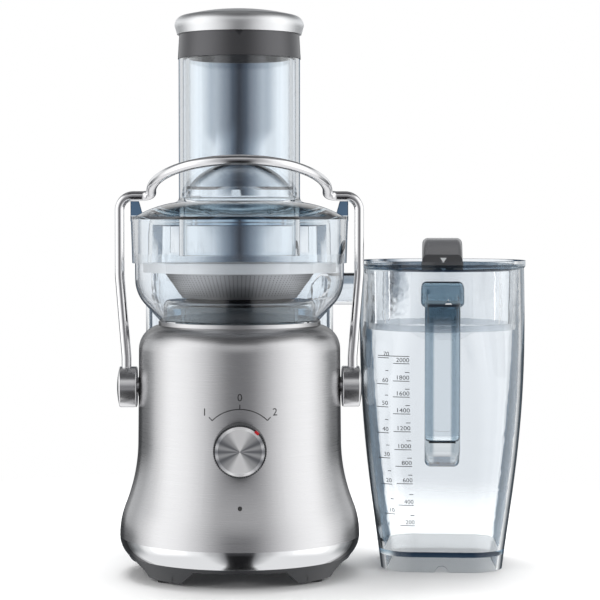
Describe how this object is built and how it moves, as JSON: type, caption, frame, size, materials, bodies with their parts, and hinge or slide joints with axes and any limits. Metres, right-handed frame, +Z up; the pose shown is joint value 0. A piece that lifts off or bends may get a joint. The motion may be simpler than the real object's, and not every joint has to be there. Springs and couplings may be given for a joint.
{
  "type": "centrifugal juicer",
  "caption": "Upright centrifugal juicer: steel motor base, clear bowl, cover with wide feed chute and pusher, swing-over locking arm, rear pulp bin and a lidded juice jug at its nozzle.",
  "frame": {"origin": "on the counter, straight under the motor axis", "axes": "+Z up along the motor axis, -Y to the front with the speed dial, +X towards the jug"},
  "size_m": [0.3296, 0.2665, 0.444],
  "materials": {
    "brushed_steel": "horizontally brushed stainless sheet",
    "basket_steel": "fine perforated stainless sheet",
    "chrome": "polished chrome",
    "clear_tint": "clear blue-grey tinted plastic",
    "dark_plastic": "satin dark grey plastic",
    "inner_plastic": "plain moulded plastic",
    "rubber": "matt black rubber",
    "seal_rubber": "soft grey silicone",
    "spun_metal": "radially spun aluminium",
    "pointer_red": "gloss red",
    "lamp_lens": "dark lamp lens",
    "machined_steel": "machined steel",
    "cast_alloy": "cast aluminium",
    "copper": "enamelled copper",
    "board_green": "circuit board"
  },
  "bodies": {
    "base": {"body_shell": "brushed_steel", "trim_band": "chrome", "base_pan": "dark_plastic", "base_feet": "rubber", "base_screws": "machined_steel", "inner_housing": "inner_plastic", "drive_deck": "dark_plastic", "shaft_seal": "rubber", "lower_bracket": "cast_alloy", "upper_bracket": "cast_alloy", "lower_bearing": "machined_steel", "upper_bearing": "machined_steel", "motor_mounts": "rubber", "motor_stator": "machined_steel", "motor_windings": "copper", "brush_holders": "inner_plastic", "pivot_pins": "machined_steel", "interlock_switch": "inner_plastic", "dial_bush": "machined_steel", "speed_switch": "inner_plastic", "indicator_lens": "lamp_lens", "control_board": "board_green", "cord_grommet": "rubber", "filter_bowl": "clear_tint", "juicer_cover": "clear_tint"},
    "rotor": {"motor_shaft": "machined_steel", "motor_rotor": "machined_steel", "commutator": "copper", "cooling_fan": "inner_plastic", "drive_coupling": "dark_plastic", "filter_basket": "basket_steel", "basket_rim": "basket_steel", "cutting_disc": "basket_steel"},
    "arm": {"locking_arm": "chrome", "arm_hub_right": "chrome", "arm_hub_left": "chrome"},
    "dial": {"speed_dial": "dark_plastic", "dial_face": "spun_metal", "dial_pointer": "pointer_red"},
    "pusher": {"pusher_tube": "clear_tint", "pusher_collar": "dark_plastic", "pusher_cap": "brushed_steel"},
    "pulp_bin": {"pulp_bin": "clear_tint"},
    "jug": {"jug": "clear_tint"},
    "jug_lid": {"jug_lid": "clear_tint", "lid_seal": "seal_rubber", "lid_grip": "dark_plastic", "froth_separator": "clear_tint"}
  },
  "joints": [
    {"name": "rotor_spin", "type": "hinge", "parent": "base", "child": "rotor", "pos_m": [0, 0, 0.2], "axis": [0, 0, 1], "continuous": true},
    {"name": "arm_swing", "type": "hinge", "parent": "base", "child": "arm", "pos_m": [0, 0, 0.1471], "axis": [1, 0, 0], "range_deg": [0, 100]},
    {"name": "dial_turn", "type": "hinge", "parent": "base", "child": "dial", "pos_m": [0, -0.09, 0.1068], "axis": [0, -1, 0], "range_deg": [0, 87]},
    {"name": "pusher_lift", "type": "slide", "parent": "base", "child": "pusher", "axis": [0, 0, 1], "range_m": [0, 0.16]},
    {"name": "bin_slide", "type": "slide", "parent": "base", "child": "pulp_bin", "axis": [0, 1, 0], "range_m": [0, 0.15]},
    {"name": "jug_slide", "type": "slide", "parent": "base", "child": "jug", "axis": [1, 0, 0], "range_m": [0, 0.15]},
    {"name": "lid_lift", "type": "slide", "parent": "jug", "child": "jug_lid", "axis": [0, 0, 1], "range_m": [0, 0.09]}
  ]
}
